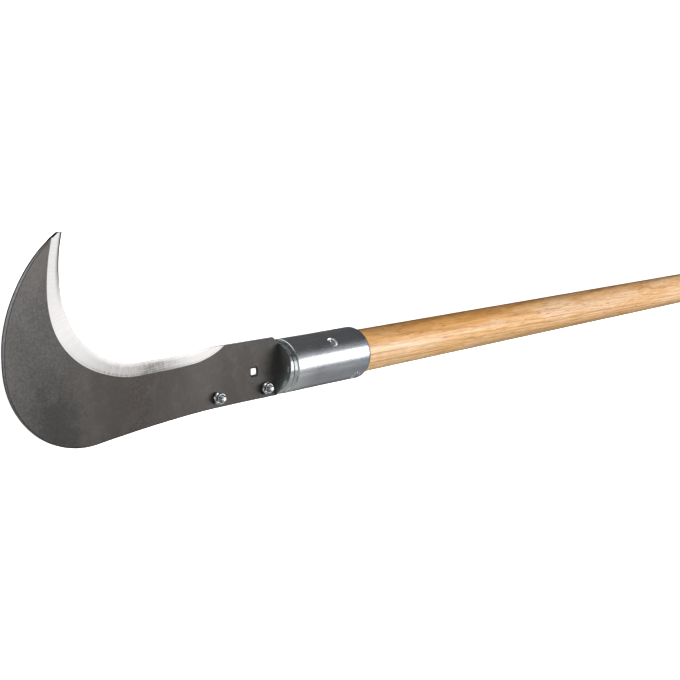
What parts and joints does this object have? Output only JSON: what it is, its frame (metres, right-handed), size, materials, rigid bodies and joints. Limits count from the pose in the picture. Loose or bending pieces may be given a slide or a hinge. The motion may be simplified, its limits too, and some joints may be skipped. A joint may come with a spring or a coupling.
{
  "type": "billhook",
  "caption": "Long-handled billhook: a hooked blade with a ground inner edge, bolted to a tongue on a capped steel socket that holds a round ash handle.",
  "frame": {"origin": "on the handle's axis, where the full-diameter grip begins just behind the socket's mouth", "axes": "+X along the handle's axis from the blade to the butt, +Y toward the hook's tip, +Z square to the blade on the side of the nuts"},
  "size_m": [1.4746, 0.16, 0.0482],
  "materials": {
    "blade_steel": "dark semi-gloss scale with a bright ground edge",
    "socket_steel": "smooth bright zinc",
    "fastener_zinc": "bright zinc",
    "insert_nylon": "plain moulded",
    "handle_wood": "clear varnish"
  },
  "bodies": {
    "root": {"blade": "blade_steel", "tongue": "socket_steel", "tongue_weld": "socket_steel", "end_cap": "socket_steel", "socket_tube": "socket_steel", "handle": "handle_wood", "front_bolt": "fastener_zinc", "rear_bolt": "fastener_zinc", "front_nut": "fastener_zinc", "rear_nut": "fastener_zinc", "front_nut_insert": "insert_nylon", "rear_nut_insert": "insert_nylon", "front_screw": "fastener_zinc", "rear_screw": "fastener_zinc"}
  },
  "joints": []
}
